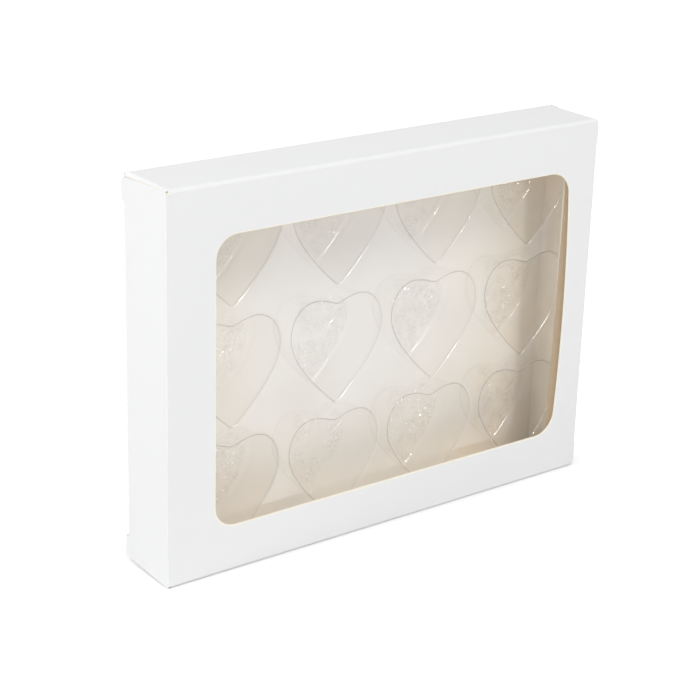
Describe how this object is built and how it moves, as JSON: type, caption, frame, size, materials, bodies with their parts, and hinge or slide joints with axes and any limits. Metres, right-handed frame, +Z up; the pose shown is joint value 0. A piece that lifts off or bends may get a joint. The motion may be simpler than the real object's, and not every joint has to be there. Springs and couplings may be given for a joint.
{
  "type": "candy box",
  "caption": "White folding carton with a large window, tuck ends that open on creases, and a clear tray of heart-shaped cavities.",
  "frame": {"origin": "middle of the rectangle that the carton stands on, on the floor", "axes": "+Z up; the window faces -Y; +X along the carton, to the right seen from the front"},
  "size_m": [0.1872, 0.0276, 0.1397],
  "materials": {
    "board": "smooth coated white",
    "film": "clear gloss",
    "tray": "clear gloss, thermoformed"
  },
  "bodies": {
    "carton": {"front_panel": "board", "top_panel": "board", "back_panel": "board", "bottom_panel": "board", "glue_flap": "board", "window_film": "film"},
    "left_closure": {"left_closure_panel": "board"},
    "left_tuck": {"left_tuck_flap": "board"},
    "left_upper_dust": {"left_upper_dust_flap": "board"},
    "left_lower_dust": {"left_lower_dust_flap": "board"},
    "right_closure": {"right_closure_panel": "board"},
    "right_tuck": {"right_tuck_flap": "board"},
    "right_upper_dust": {"right_upper_dust_flap": "board"},
    "right_lower_dust": {"right_lower_dust_flap": "board"},
    "tray": {"heart_tray": "tray"}
  },
  "joints": [
    {"name": "left_closure_hinge", "type": "hinge", "parent": "carton", "child": "left_closure", "pos_m": [-0.09365, -0.0135, 0], "axis": [0, 0, 1], "range_deg": [0, 150]},
    {"name": "left_tuck_crease", "type": "hinge", "parent": "left_closure", "child": "left_tuck", "pos_m": [-0.0932, 0.0118, 0], "axis": [0, 0, 1], "range_deg": [-60, 0]},
    {"name": "left_upper_dust_crease", "type": "hinge", "parent": "carton", "child": "left_upper_dust", "pos_m": [-0.09265, 0, 0.1397], "axis": [0, 1, 0], "range_deg": [0, 90]},
    {"name": "left_lower_dust_crease", "type": "hinge", "parent": "carton", "child": "left_lower_dust", "pos_m": [-0.09265, 0, 0], "axis": [0, -1, 0], "range_deg": [0, 90]},
    {"name": "right_closure_hinge", "type": "hinge", "parent": "carton", "child": "right_closure", "pos_m": [0.09365, 0.0135, 0], "axis": [0, 0, 1], "range_deg": [0, 150]},
    {"name": "right_tuck_crease", "type": "hinge", "parent": "right_closure", "child": "right_tuck", "pos_m": [0.0932, -0.0118, 0], "axis": [0, 0, 1], "range_deg": [-60, 0]},
    {"name": "right_upper_dust_crease", "type": "hinge", "parent": "carton", "child": "right_upper_dust", "pos_m": [0.09265, 0, 0.1397], "axis": [0, -1, 0], "range_deg": [0, 90]},
    {"name": "right_lower_dust_crease", "type": "hinge", "parent": "carton", "child": "right_lower_dust", "pos_m": [0.09265, 0, 0], "axis": [0, 1, 0], "range_deg": [0, 90]},
    {"name": "tray_slide", "type": "slide", "parent": "carton", "child": "tray", "axis": [1, 0, 0], "range_m": [-0.0008, 0.0008]}
  ],
  "couplings": [
    {"joint": "left_tuck_crease", "follows": "left_closure_hinge", "ratio": -0.4},
    {"joint": "left_upper_dust_crease", "follows": "left_closure_hinge", "ratio": 0.6},
    {"joint": "left_lower_dust_crease", "follows": "left_closure_hinge", "ratio": 0.6},
    {"joint": "right_tuck_crease", "follows": "right_closure_hinge", "ratio": -0.4},
    {"joint": "right_upper_dust_crease", "follows": "right_closure_hinge", "ratio": 0.6},
    {"joint": "right_lower_dust_crease", "follows": "right_closure_hinge", "ratio": 0.6}
  ]
}
